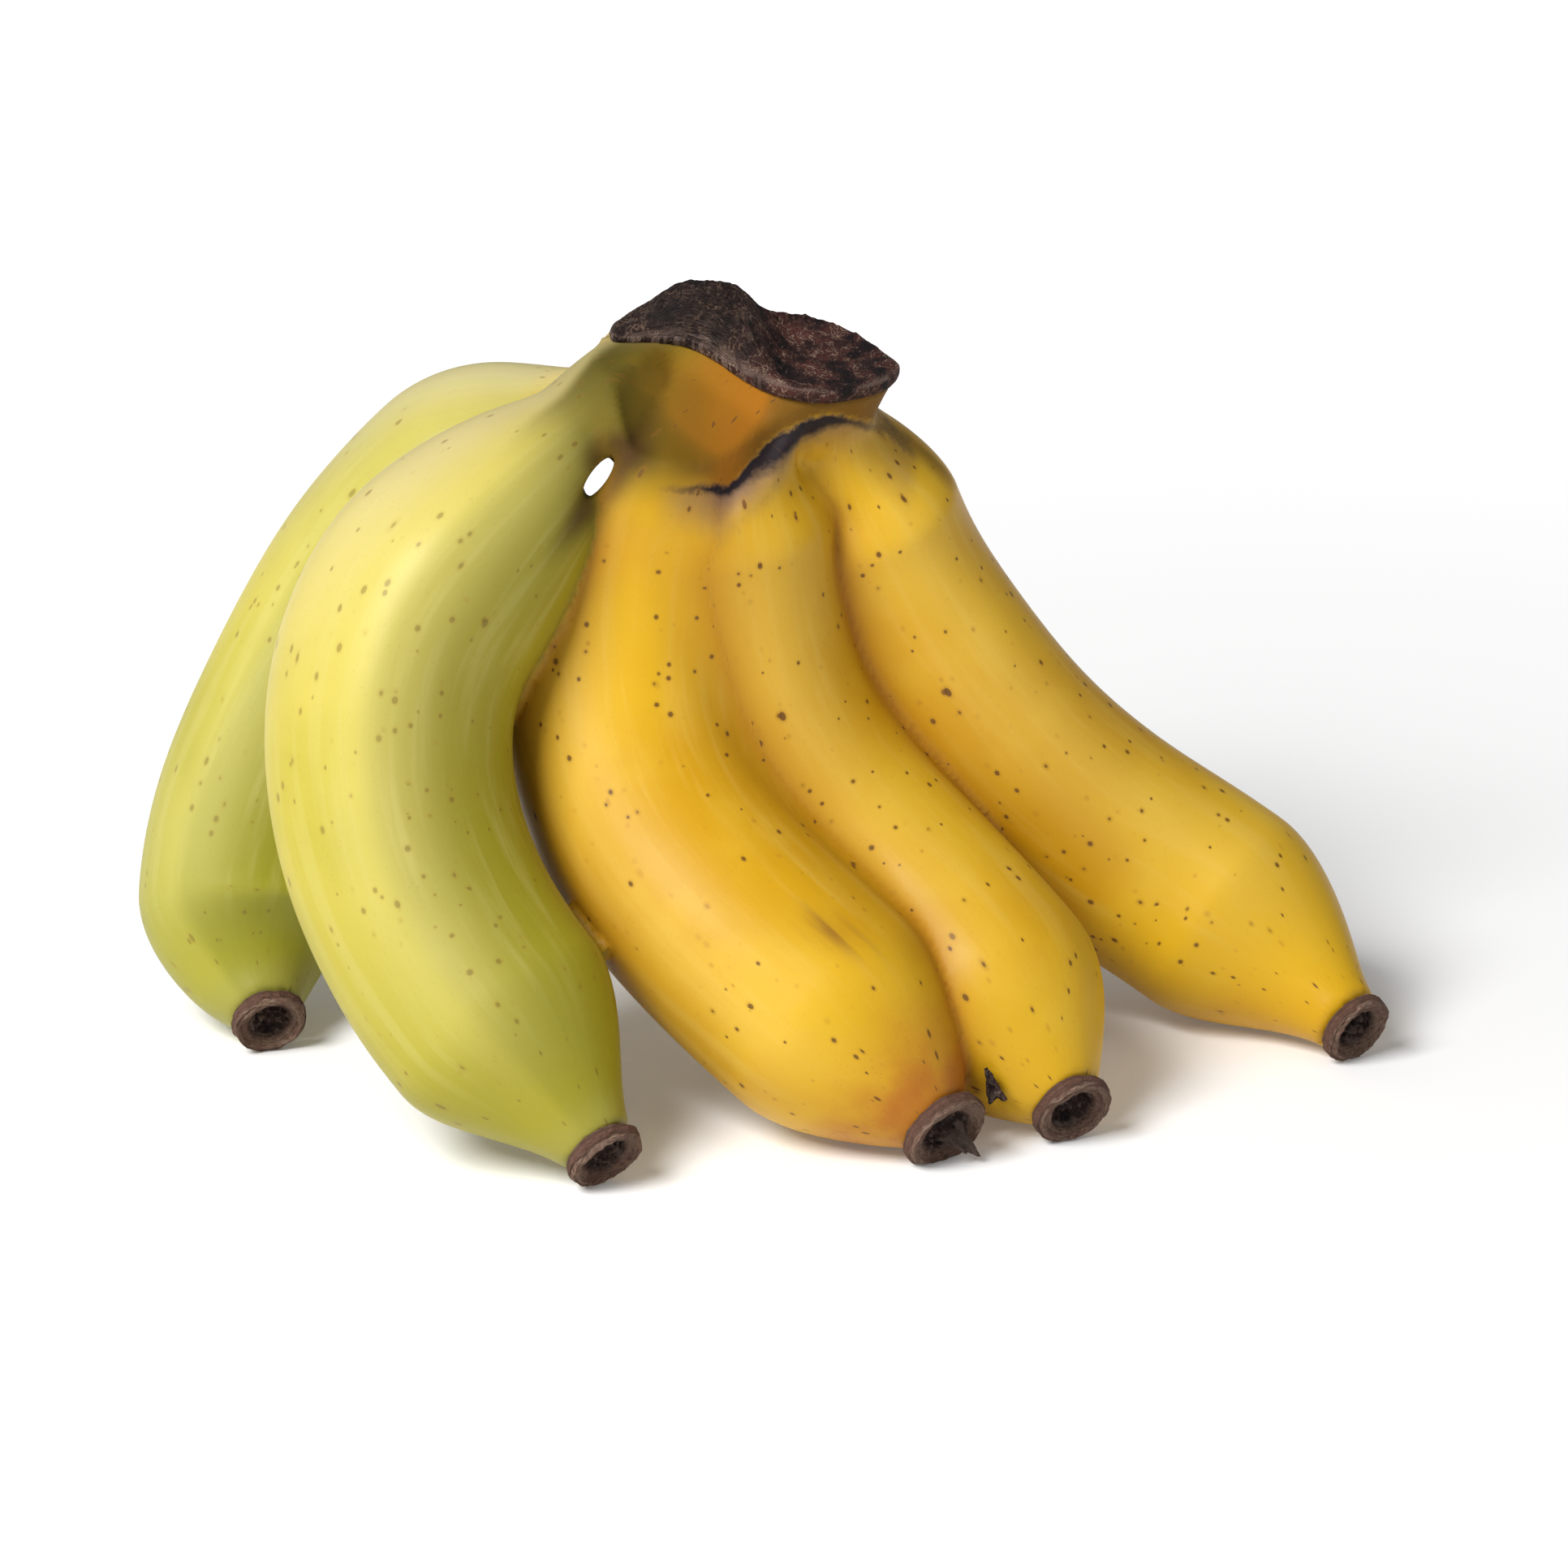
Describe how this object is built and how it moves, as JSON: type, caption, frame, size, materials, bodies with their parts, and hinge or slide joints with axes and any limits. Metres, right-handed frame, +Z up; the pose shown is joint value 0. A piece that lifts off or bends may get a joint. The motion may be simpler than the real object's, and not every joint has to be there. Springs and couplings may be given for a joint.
{
  "type": "apple banana hand",
  "caption": "Hand of short, plump dessert bananas grown together at one dried crown, standing on the lower ends of its fingers.",
  "frame": {"origin": "middle of the footprint, on the surface that the hand stands on", "axes": "+Z up, +X along the row of fingers from the green ones to the yellow ones, -Y the way the fingers' lower ends turn"},
  "size_m": [0.1933, 0.0992, 0.1174],
  "materials": {
    "green_skin": "smooth waxy fruit skin, green turning yellow, with fine brown specks",
    "yellow_skin": "smooth waxy fruit skin, ripe yellow, with fine brown specks",
    "dried_crown": "rough dried plant fibre, nearly black brown",
    "dried_blossom": "rough dried plant fibre, grey brown"
  },
  "bodies": {
    "root": {"crown": "dried_crown", "finger_green_back": "green_skin", "finger_green_front": "green_skin", "finger_yellow_front": "yellow_skin", "finger_yellow_middle": "yellow_skin", "finger_yellow_back": "yellow_skin", "blossom_end_green_back": "dried_blossom", "blossom_end_green_front": "dried_blossom", "blossom_end_yellow_front": "dried_blossom", "blossom_end_yellow_middle": "dried_blossom", "blossom_end_yellow_back": "dried_blossom", "dry_flower_scrap": "dried_blossom"}
  },
  "joints": []
}
